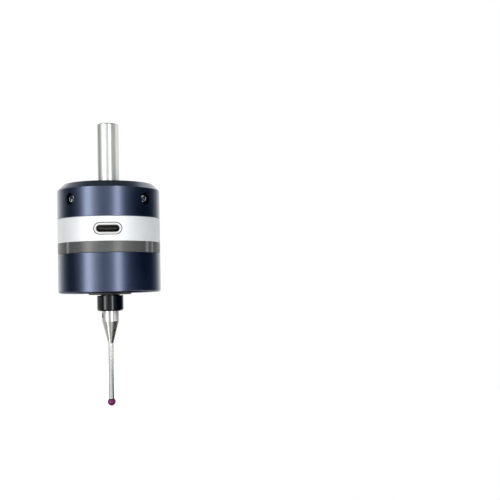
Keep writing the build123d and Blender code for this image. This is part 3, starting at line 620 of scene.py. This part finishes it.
# %% A ring of copies
copies_tree, given = new_growth("ring_of_copies", {
    "Piece": "Object", "Count": "Int", "Start angle": "Float", "Finish": "Material"})
step = sums(copies_tree, "DIVIDE", 2 * math.pi, given["Count"])
number = place(copies_tree, "GeometryNodeInputIndex").outputs[0]
angle = sums(copies_tree, "ADD", sums(copies_tree, "MULTIPLY", number, step), given["Start angle"])
turns = place(copies_tree, "ShaderNodeCombineXYZ", {"Z": angle}).outputs[0]
copies = place(copies_tree, "GeometryNodeInstanceOnPoints", {
    "Points": place(copies_tree, "GeometryNodePoints", {"Count": given["Count"]}).outputs[0],
    "Instance": place(copies_tree, "GeometryNodeObjectInfo", {"Object": given["Piece"]}).outputs["Geometry"],
    "Rotation": place(copies_tree, "FunctionNodeEulerToRotation", {0: turns}).outputs[0],
})
end_growth(copies_tree, copies.outputs[0], given["Finish"])
print("tree:", copies_tree.name, "with", len(copies_tree.nodes), "nodes")

# %% [markdown]
# ## Adjusting screws
# Four M4 set screws centre the shank. Only the sockets show, sunk a little below the cap's wall.
# A real one has a chamfered end, a six sided socket with a drilled bottom, a thread and a cone
# point, so one is turned about Z and then laid along X at its radius.

# %% Adjusting screws
SCREW_OUT = 18.2
SCREW_TIP = 9.7
SET_R = 1.98
SET_PITCH = 0.7
SET_DEPTH = 0.36
THREAD_ROOT = 0.06
THREAD_CREST = (0.44, 0.56)
SET_SOCKET = (
    # radius, depth below the outer end, shape
    (0, 2.6, "round"),
    (0.5, 2.3, "round"),
    (1.0, 2.2, "hex"),
    (1.0, 0.12, "hex"),
    (1.12, 0.0, "hex"),
    (1.20, 0.0, "round"),
    (1.22, 0.01, "round"),
    (1.92, 0.352, "round"),
    (SET_R, 0.42, "round"),
)
SET_POINT = (
    # radius, height above the tip
    (1.6, 1.55),
    (0.35, 0.3),
    (0, 0.28),
)


def threads(radius, start, end, pitch, depth):
    """Rings of a thread from one height to another: a root, then a narrow crest, for each turn."""
    count = max(1, round(abs(end - start) / pitch))
    step = (end - start) / count
    rows = []
    for index in range(count):
        base = start + index * step
        rows.append((radius - depth, base + THREAD_ROOT * step))
        rows += [(radius, base + share * step) for share in THREAD_CREST]
    return rows


set_rings = [(radius, SCREW_OUT - depth, shape) for radius, depth, shape in SET_SOCKET]
set_rings += threads(SET_R, SCREW_OUT - 0.5, SCREW_TIP + 2.0, SET_PITCH, SET_DEPTH)
set_rings += [(radius, SCREW_TIP + height) for radius, height in SET_POINT]
set_mesh = turned("set_screw", list(reversed(set_rings)), steps=48)
set_mesh.transform(Matrix.Translation((0, 0, ADJUST_Z * MM)) @ Matrix.Rotation(math.pi / 2, 4, "Y"))
set_screw = put("set_screw", set_mesh, set_steel)
adjusters = grown("adjusters", copies_tree, {
    "Piece": set_screw, "Count": 4, "Start angle": math.pi / 4, "Finish": set_steel})
bpy.data.objects.remove(set_screw)
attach(adjusters, "housing")
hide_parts("adjusting_screws")
print("adjusters:", len(adjusters.data.polygons), "faces")

# %% [markdown]
# ## Tie screws
# Three socket head screws clamp the rings together. Their fluted heads sit in the counterbores
# of the bottom face, and their shanks pass behind the smoky ring. They are turned like the set
# screws, with more steps so that the flutes are smooth.

# %% Tie screws
TIE_R = 1.25
TIE_PITCH = 0.45
TIE_DEPTH = 0.2
TIE_TIP = -9.9
TIE_RING_R = 15.4
HEAD_LOW = -37.4
HEAD_TALL = 2.5
TIE_SEAT = HEAD_LOW + HEAD_TALL
TIE_HEAD = (
    # radius, height above the head's face, shape
    (0, 1.55, "round"),
    (0.5, 1.4, "round"),
    (1.0, 1.3, "hex"),
    (1.0, 0.1, "hex"),
    (1.1, 0.0, "hex"),
    (1.85, 0.0, "round"),
    (2.0, 0.04, "round"),
    (2.2, 0.3, "round"),
    (2.25, 0.42, "fluted"),
    (2.25, HEAD_TALL - 0.12, "fluted"),
    (2.15, HEAD_TALL, "round"),
    (1.3, HEAD_TALL, "round"),
    (TIE_R, HEAD_TALL + 0.15, "round"),
    (TIE_R, HEAD_TALL + 1.2, "round"),
)
tie_rings = [(radius, HEAD_LOW + height, shape) for radius, height, shape in TIE_HEAD]
tie_rings += threads(TIE_R, TIE_SEAT + 1.4, TIE_TIP - 0.5, TIE_PITCH, TIE_DEPTH)
tie_rings += [(1.02, TIE_TIP - 0.2), (0.8, TIE_TIP), (0, TIE_TIP)]
tie_mesh = turned("tie_screw", tie_rings, steps=144)
tie_mesh.transform(Matrix.Translation((TIE_RING_R * MM, 0, 0)))
tie_screw = put("tie_screw", tie_mesh, bright_steel)
ties = grown("ties", copies_tree, {
    "Piece": tie_screw, "Count": 3, "Start angle": math.pi / 2, "Finish": bright_steel})
bpy.data.objects.remove(tie_screw)
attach(ties, "housing")
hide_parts("tie_screws")
print("ties:", len(ties.data.polygons), "faces")

# %% [markdown]
# ## Charging socket
# Inside the drawn shell is a thin moulded tongue on a base that fills the shell's back. A box
# with bevels could stand for it, but the nose tapers, so it is a bar through a row of rounded
# outlines.

# %% Socket tongue
SOCKET_Z = -17.35
SHELL_BACK = -10.9
TONGUE_ROOT = -13.1
TONGUE_NOSE = -17.55
ARC_STEPS = 8
BAR_CREASE = 35
TONGUE_STATIONS = (
    # y, width, height, corner radius
    (SHELL_BACK, 8.26, 2.58, 1.28),
    (TONGUE_ROOT, 8.26, 2.58, 1.28),
    (TONGUE_ROOT - 0.02, 6.9, 1.1, 0.2),
    (TONGUE_ROOT - 0.5, 6.69, 0.7, 0.12),
    (TONGUE_NOSE + 0.3, 6.69, 0.7, 0.12),
    (TONGUE_NOSE + 0.08, 6.5, 0.5, 0.12),
    (TONGUE_NOSE, 6.3, 0.3, 0.1),
)


def rounded_outline(width, height, corner):
    """Points of a rounded rectangle in X and Z, about the socket's centre."""
    points = []
    for turn_number, (across, along) in enumerate(((1, 1), (-1, 1), (-1, -1), (1, -1))):
        for step in range(ARC_STEPS + 1):
            angle = math.pi / 2 * (turn_number + step / ARC_STEPS)
            x = across * (width / 2 - corner) + corner * math.cos(angle)
            z = along * (height / 2 - corner) + corner * math.sin(angle)
            points.append((x, z))
    return points


def bar(label, stations):
    """A closed bar through outlines along Y, each (y, width, height, corner), in mm."""
    points = []
    faces = []
    count = 4 * (ARC_STEPS + 1)
    for y, *outline in stations:
        points += [(x * MM, y * MM, (SOCKET_Z + z) * MM) for x, z in rounded_outline(*outline)]
    for row in range(len(stations) - 1):
        first = row * count
        second = first + count
        for step in range(count):
            after = (step + 1) % count
            faces.append((first + step, first + after, second + after, second + step))
    faces.append(tuple(reversed(range(count))))
    faces.append(tuple(range((len(stations) - 1) * count, len(stations) * count)))
    return smooth_mesh(label, points, faces, BAR_CREASE)


tongue = put("socket_tongue", bar("socket_tongue", TONGUE_STATIONS), black_moulding)
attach(tongue, "housing")
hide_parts("usb_tongue")
print("tongue:", len(tongue.data.polygons), "faces")

# %% [markdown]
# ## Socket contacts
# Twelve gilt contacts lie on each side of the tongue, half a millimetre apart. They are small
# and all alike, so a tree sets one pad along a line and doubles the line below.

# %% Socket contacts
PAD_COUNT = 12
PAD_PITCH = 0.5
PAD_OFF = 0.36
PAD_Y = -14.9
PAD_SIZE = (0.26, 2.0, 0.06)
PAD_FACES = 6
pads_tree, given = new_growth("contact_row", {
    "Count": "Int", "Pad size": "Vector", "First pad": "Vector",
    "Pitch": "Vector", "Row gap": "Vector", "Finish": "Material"})
pad = place(pads_tree, "GeometryNodeMeshCube", {"Size": given["Pad size"]}).outputs[0]
line = place(pads_tree, "GeometryNodeMeshLine", {
    "Count": given["Count"], "Start Location": given["First pad"], "Offset": given["Pitch"]},
    mode="OFFSET").outputs[0]
row = place(pads_tree, "GeometryNodeInstanceOnPoints", {"Points": line, "Instance": pad}).outputs[0]
lower = place(pads_tree, "GeometryNodeTransform", {"Geometry": row, "Translation": given["Row gap"]})
both = place(pads_tree, "GeometryNodeJoinGeometry")
pads_tree.links.new(row, both.inputs[0])
pads_tree.links.new(lower.outputs[0], both.inputs[0])
end_growth(pads_tree, both.outputs[0], given["Finish"])

row_start = -PAD_PITCH * (PAD_COUNT - 1) / 2
contacts = grown("socket_contacts", pads_tree, {
    "Count": PAD_COUNT,
    "Pad size": tuple(size * MM for size in PAD_SIZE),
    "First pad": (row_start * MM, PAD_Y * MM, (SOCKET_Z + PAD_OFF) * MM),
    "Pitch": (PAD_PITCH * MM, 0.0, 0.0),
    "Row gap": (0.0, 0.0, -2 * PAD_OFF * MM),
    "Finish": gilt,
})
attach(contacts, "housing")
print("contacts:", len(contacts.data.polygons) // PAD_FACES, "pads")

# %% [markdown]
# ## Preload spring
# The coil is a spiral curve with a round wire swept along it. It flexes across three tilts, so
# it is made in three equal spans, each listed with two neighbouring bodies.

# %% Preload spring
SPRING_LOW = -26.4
SPRING_HIGH = -14.35
COIL_R = 3.4
WIRE_R = 0.35
SPAN_TURNS = 2.0
SPAN_BODIES = (("boot", "stylus_rotor"), ("spring", "boot"), ("housing", "spring"))
coil_tree, given = new_growth("coil_span", {
    "Turns": "Float", "Coil radius": "Float", "Height": "Float",
    "Wire radius": "Float", "Foot": "Vector", "Finish": "Material"})
spiral = place(coil_tree, "GeometryNodeCurveSpiral", {
    "Resolution": 40, "Rotations": given["Turns"], "Height": given["Height"],
    "Start Radius": given["Coil radius"], "End Radius": given["Coil radius"]})
wire = place(coil_tree, "GeometryNodeCurvePrimitiveCircle", {
    "Resolution": 14, "Radius": given["Wire radius"]})
coil = place(coil_tree, "GeometryNodeCurveToMesh", {
    "Curve": spiral.outputs[0], "Profile Curve": wire.outputs[0], "Fill Caps": True})
stood = place(coil_tree, "GeometryNodeTransform", {
    "Geometry": coil.outputs[0], "Translation": given["Foot"]})
end_growth(coil_tree, stood.outputs[0], given["Finish"])

span_tall = (SPRING_HIGH - SPRING_LOW) / len(SPAN_BODIES)
for index, (above, below) in enumerate(SPAN_BODIES):
    foot = SPRING_LOW + index * span_tall
    span = grown(f"spring_span_{index + 1}", coil_tree, {
        "Turns": SPAN_TURNS, "Coil radius": COIL_R * MM, "Height": span_tall * MM,
        "Wire radius": WIRE_R * MM, "Foot": (0.0, 0.0, foot * MM), "Finish": spring_steel})
    span.data.shade_smooth()
    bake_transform(span)
    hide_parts("preload_spring")
print("spring spans:", len(SPAN_BODIES))

# %% [markdown]
# ## Outlines for rubber
# The boot is turned from curved outlines. Three helpers draw them: a quarter of an ellipse, a
# slope that starts and ends upright, and a band of even thickness along such a path. The band's
# ends are squared off, so that two bands that meet share their last ring.

# %% Outlines for rubber
SKIN = 0.3
CURVE_STEPS = 10


def toward(first, last, share_across, share_up):
    """A (radius, height) part of the way from one to another."""
    return (first[0] + (last[0] - first[0]) * share_across, first[1] + (last[1] - first[1]) * share_up)


def quarter(first, last, level_start):
    """A quarter ellipse from one (radius, height) to another, which starts level or upright."""
    points = []
    for step in range(CURVE_STEPS + 1):
        angle = math.pi / 2 * step / CURVE_STEPS
        early = math.sin(angle)
        late = 1 - math.cos(angle)
        shares = (early, late) if level_start else (late, early)
        points.append(toward(first, last, *shares))
    return points


def slope(first, last):
    """Points between two (radius, height) that start and end upright."""
    points = []
    for step in range(CURVE_STEPS + 1):
        share = step / CURVE_STEPS
        points.append(toward(first, last, 0.5 - 0.5 * math.cos(math.pi * share), share))
    return points


def band(path):
    """A closed outline along both sides of a path, one skin thick, squared off where the path ends."""
    left = []
    right = []
    last = len(path) - 1
    for index, (radius, height) in enumerate(path):
        before = path[max(index - 1, 0)]
        after = path[min(index + 1, last)]
        run = Vector((after[0] - before[0], after[1] - before[1]))
        if index in (0, last):
            run = Vector((run.x, 0)) if abs(run.x) > abs(run.y) else Vector((0, run.y))
        run = run.normalized() * (SKIN / 2)
        left.append((radius - run.y, height + run.x))
        right.append((radius + run.y, height - run.x))
    return left + right[::-1]


# %% [markdown]
# ## Rubber boot: skirt and bead
# The boot seals the gap between the body and the neck. Its flange and skirt are clamped in the
# body and stay still, and its bead grips the neck and moves with it, so each rides on one body.

# %% Skirt and bead
FLANGE_TOP = -36.5
FLANGE_LOW = -37.5
FLANGE_R = 9.5
FLANGE_EDGE = 0.1
BOOT_LOW = -41.1
SKIRT_OUT = 7.95
SKIRT_IN = 7.45
BEAD_R = 4.6
BEAD_TOP = -39.6
NECK_R = 3.62
WALL_FOOT = (7.6, -40.85)
BOOT_STEPS = 120

lip = SKIRT_OUT - WALL_FOOT[0]
inner_foot = (WALL_FOOT[0] - SKIN / 2, WALL_FOOT[1])
lowest = (WALL_FOOT[0], BOOT_LOW)
skirt_rows = [(SKIRT_IN, FLANGE_TOP), (SKIRT_IN, WALL_FOOT[1] + SKIN), inner_foot]
skirt_rows += quarter(inner_foot, lowest, False)[1:]
skirt_rows += quarter(lowest, (SKIRT_OUT, BOOT_LOW + lip), True)[1:]
skirt_rows += [
    (SKIRT_OUT, FLANGE_LOW),
    (FLANGE_R - FLANGE_EDGE, FLANGE_LOW),
    (FLANGE_R, FLANGE_LOW + FLANGE_EDGE),
    (FLANGE_R, FLANGE_TOP - FLANGE_EDGE),
    (FLANGE_R - FLANGE_EDGE, FLANGE_TOP),
]
bead_rows = [
    (NECK_R, BEAD_TOP),
    (NECK_R, BOOT_LOW),
    (BEAD_R - SKIN, BOOT_LOW),
    (BEAD_R, BOOT_LOW + SKIN),
    (BEAD_R, BEAD_TOP),
]
boot_parts = (
    ("boot_skirt", skirt_rows, "housing"),
    ("boot_bead", bead_rows, "stylus_rotor"),
)
for label, rows, body in boot_parts:
    part = put(label, turned(label, rows, steps=BOOT_STEPS, closed=True), boot_rubber)
    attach(part, body)
    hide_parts("dust_boot")
print("still parts of the boot:", len(boot_parts))

# %% [markdown]
# ## Rubber boot: folds
# Inside the skirt the thin rubber rises as a wall, rolls over a crest and comes down as a web to
# the bead. A blend can cross one joint only and there are three tilts, so the wall, the crest and
# the web each take one of them. They stay clear of the holder, which comes up inside them.

# %% Folds
WALL_TOP = (6.38, -39.1)
CREST = (5.9, -38.5)
CREST_FOLLOWS = CREST[1] - 0.22
WEB_TOP = (5.35, -39.1)
WEB_FOOT = (4.45, -40.3)

wall_path = slope(WALL_FOOT, WALL_TOP)
crest_path = quarter(WALL_TOP, CREST, False)
web_path = quarter(CREST, WEB_TOP, True) + slope(WEB_TOP, WEB_FOOT)[1:]
boot_folds = (
    # name, path, bodies, height where it leaves the first, height where it follows the second
    ("boot_wall", wall_path, ("housing", "spring"), WALL_FOOT[1], WALL_TOP[1]),
    ("boot_crest", crest_path, ("spring", "boot"), WALL_TOP[1], CREST_FOLLOWS),
    ("boot_web", web_path, ("boot", "stylus_rotor"), CREST_FOLLOWS, BEAD_TOP),
)
for label, path, bodies, start, end in boot_folds:
    part = put(label, turned(label, band(path), steps=BOOT_STEPS, closed=True), boot_rubber)
    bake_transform(part)
    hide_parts("dust_boot")
print("folds of the boot:", len(boot_folds))

# %% [markdown]
# ## Ruby ball
# A highlight on a small ball shows every flat facet, and a plain sphere has no place for the pin
# of the stem. So the ball is turned with many rings and ends in a blind hole.

# %% Ruby ball
BALL_R = 1.5
BALL_Z = -81.2
PIN_R = 0.45
BALL_RINGS = 48
pin_angle = math.asin(PIN_R / BALL_R)
ball_rings = [(0, BALL_Z - BALL_R)]
for index in range(1, BALL_RINGS + 1):
    polar = (math.pi - pin_angle) * index / BALL_RINGS
    ball_rings.append((BALL_R * math.sin(polar), BALL_Z - BALL_R * math.cos(polar)))
ball_rings += [(PIN_R, BALL_Z), (0, BALL_Z)]
ball = put("ball", turned("ball", ball_rings, steps=96), ruby)
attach(ball, "stylus_rotor")
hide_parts("ruby_ball")
print("ball:", len(ball.data.polygons), "faces")

# %% [markdown]
# ## Floor
# The floor is a plain pale disc just under the ball. It glows a little, so that it stays as
# white as the room, and reflections leave it out, because bright metal would show its edge.

# %% Floor
FLOOR_Z = -82.75 * MM
FLOOR_R = 0.15
FLOOR_STEPS = 128
floor_points = []
for index in range(FLOOR_STEPS):
    angle = 2 * math.pi * index / FLOOR_STEPS
    floor_points.append((FLOOR_R * math.cos(angle), FLOOR_R * math.sin(angle), FLOOR_Z))
floor_mesh = bpy.data.meshes.new("floor")
floor_mesh.from_pydata(floor_points, [], [tuple(range(FLOOR_STEPS))])


def paper(label, dark, bright, glow, glow_colour):
    """A dull pale sheet that may glow."""
    finish, tree, shader = new_finish(
        label, roughness=0.9, emission_strength=glow, emission_color=(*glow_colour, 1.0))
    speckle = effect(tree, grain, grains_per_metre=900.0)
    tree.links.new(between(tree, speckle["Shade"], dark, bright), shader.inputs["Base Color"])
    return finish


pale = paper("pale_floor", (0.93, 0.93, 0.93), (0.95, 0.95, 0.95), 0.85, (1.0, 1.0, 1.0))
floor = put("floor", floor_mesh, pale)
floor.visible_glossy = False
print("floor at", round(FLOOR_Z / MM, 2), "mm")

# %% [markdown]
# ## Soft lights
# Bright metal shows its surroundings more than its own colour. The two pale bands on the body
# are tall soft lights, one to the left and one just right of the camera. A third light fills
# the right side without showing in reflections.

# %% Soft lights
LIGHT_Z = -0.03


def soft_light(label, azimuth, reach, width, tall, radiance):
    """A tall soft light at an angle from the front, facing the body."""
    lamp = bpy.data.lights.new(label, "AREA")
    lamp.shape = "RECTANGLE"
    lamp.size = width
    lamp.size_y = tall
    lamp.energy = radiance * math.pi * width * tall
    stand = bpy.data.objects.new(label, lamp)
    bpy.context.scene.collection.objects.link(stand)
    angle = math.radians(azimuth)
    spot = Vector((reach * math.sin(angle), -reach * math.cos(angle), LIGHT_Z))
    facing = (Vector((0, 0, LIGHT_Z)) - spot).to_track_quat("-Z", "Y")
    stand.matrix_world = Matrix.Translation(spot) @ facing.to_matrix().to_4x4()
    return stand


soft_light("left_light", azimuth=-46.0, reach=0.60, width=0.17, tall=0.9, radiance=2.85)
soft_light("right_light", azimuth=20.0, reach=0.60, width=0.13, tall=0.5, radiance=3.4)
fill = soft_light("fill_light", azimuth=42.0, reach=0.60, width=0.30, tall=0.5, radiance=1.9)
fill.visible_glossy = False
print("lights:", len(bpy.data.lights))

# %% [markdown]
# ## Reflector cards
# A photographer sets white cards beside polished steel to give it clean pale edges. The same
# cards stand here beside the shank, the stylus base and the stem. They show only in
# reflections, so they cast no shadow and the camera does not see them.

# %% Reflector cards
card_paper = paper("card_paper", (0.62, 0.62, 0.61), (0.66, 0.66, 0.65), 0.0, (1.0, 1.0, 1.0))
lit_paper = paper("lit_paper", (0.80, 0.80, 0.78), (0.84, 0.84, 0.82), 0.42, (1.0, 1.0, 0.97))
CARDS = (
    # name, x, front, back, low, high in mm, paper
    ("shank_card_right", 36, -43, -4, 5, 45, card_paper),
    ("shank_card_right_back", 36, -4, 30, 5, 45, lit_paper),
    ("shank_card_front", -12, -90, -25, 5, 45, lit_paper),
    ("shank_card_left", -40, -26, -8, 5, 45, lit_paper),
    ("shank_card_left_back", -40, -8, 34, 5, 45, card_paper),
    ("base_card_right", 32, -36, -12, -56, -48.4, lit_paper),
    ("base_card_right_back", 32, -12, 26, -56, -48.4, card_paper),
    ("base_card_left", -36, -26, -10, -56, -48.4, lit_paper),
    ("base_card_left_back", -36, -10, 28, -80, -42.3, card_paper),
    ("stem_card_right", 90, -70, 30, -80, -60, lit_paper),
    ("stem_card_front", 22, -95, -45, -92, -68, lit_paper),
    ("stem_card_left", -45, -95, -25, -92, -68, lit_paper),
)
for label, x, front, back, low, high, sheet in CARDS:
    corners = ((front, low), (back, low), (back, high), (front, high))
    card_mesh = bpy.data.meshes.new(label)
    card_mesh.from_pydata([(x * MM, y * MM, z * MM) for y, z in corners], [], [(0, 1, 2, 3)])
    card = put(label, card_mesh, sheet)
    card.visible_camera = False
    card.visible_shadow = False
    card.visible_diffuse = False
print("cards:", len(CARDS))

# %% [markdown]
# ## Surroundings
# The room is a ramp of brightness by the angle around the object. Between and beside the lights
# it is dim and a little blue, which gives the navy rings their depth, and behind the object it
# is white, which makes the pale rims. The camera itself sees white everywhere.

# %% Surroundings
ROOM = (
    # angle from the front, red, green, blue
    (-180, 1.0, 1.0, 1.0),
    (-142, 1.0, 1.0, 1.0),
    (-128, 0.55, 0.57, 0.58),
    (-114, 0.14, 0.17, 0.19),
    (-100, 0.006, 0.020, 0.045),
    (-84, 0.012, 0.036, 0.075),
    (-70, 0.090, 0.130, 0.185),
    (-58, 0.47, 0.50, 0.55),
    (-36, 1.6, 1.6, 1.6),
    (-27, 0.88, 0.90, 0.93),
    (-18, 0.42, 0.47, 0.54),
    (-10, 0.30, 0.36, 0.44),
    (4, 0.57, 0.61, 0.66),
    (26, 0.68, 0.70, 0.73),
    (35, 0.26, 0.32, 0.41),
    (46, 0.105, 0.155, 0.23),
    (58, 0.018, 0.050, 0.105),
    (75, 0.003, 0.018, 0.052),
    (110, 0.003, 0.018, 0.052),
    (126, 0.16, 0.19, 0.22),
    (140, 0.6, 0.62, 0.63),
    (154, 1.0, 1.0, 1.0),
    (180, 1.0, 1.0, 1.0),
)
CEILING = (0.11, 0.14, 0.15)
BELOW = (0.02, 0.02, 0.022)
world = bpy.data.worlds.new("room")
world.use_nodes = True
bpy.context.scene.world = world
tree = world.node_tree
tree.nodes.clear()
direction = place(tree, "ShaderNodeTexCoord").outputs["Generated"]
apart = place(tree, "ShaderNodeSeparateXYZ", {0: direction}).outputs
around = sums(tree, "ARCTAN2", apart["X"], sums(tree, "MULTIPLY", apart["Y"], -1.0))
ramp = place(tree, "ShaderNodeValToRGB", {0: spread(tree, around, -math.pi, math.pi, 0.0, 1.0)})
stops = ramp.color_ramp.elements
while len(stops) > 1:
    stops.remove(stops[-1])
for index, (angle, *level) in enumerate(ROOM):
    share = (angle + 180) / 360
    stop = stops[0] if index == 0 else stops.new(share)
    stop.position = share
    stop.color = (*level, 1.0)
print("stops around the room:", len(stops))

# %% [markdown]
# Overhead the room is a dim ceiling. Towards the floor its blue fades to grey, and straight
# below it is nearly black, so that the cone of the stylus gets its dark side.

# %% Ceiling, floor and camera
overhead = spread(tree, apart["Z"], 0.45, 0.85, 0.0, 1.0)
downward = spread(tree, apart["Z"], -0.42, -0.2, 1.0, 0.0)
underneath = spread(tree, apart["Z"], -0.72, -0.54, 1.0, 0.0)
grey = place(tree, "ShaderNodeRGBToBW", {0: ramp.outputs[0]}).outputs[0]
greyed = between(tree, downward, ramp.outputs[0], grey)
shaded = between(tree, underneath, between(tree, overhead, greyed, CEILING), BELOW)
room = place(tree, "ShaderNodeBackground", {"Color": shaded, "Strength": 1.0})
white = place(tree, "ShaderNodeBackground", {"Color": (1.0, 1.0, 1.0, 1.0), "Strength": 1.0})
seen = place(tree, "ShaderNodeLightPath").outputs["Is Camera Ray"]
chosen = place(tree, "ShaderNodeMixShader", {0: seen, 1: room.outputs[0], 2: white.outputs[0]})
tree.links.new(chosen.outputs[0], place(tree, "ShaderNodeOutputWorld").inputs["Surface"])
bpy.context.scene.view_settings.view_transform = "Standard"
print("room nodes:", len(tree.nodes))
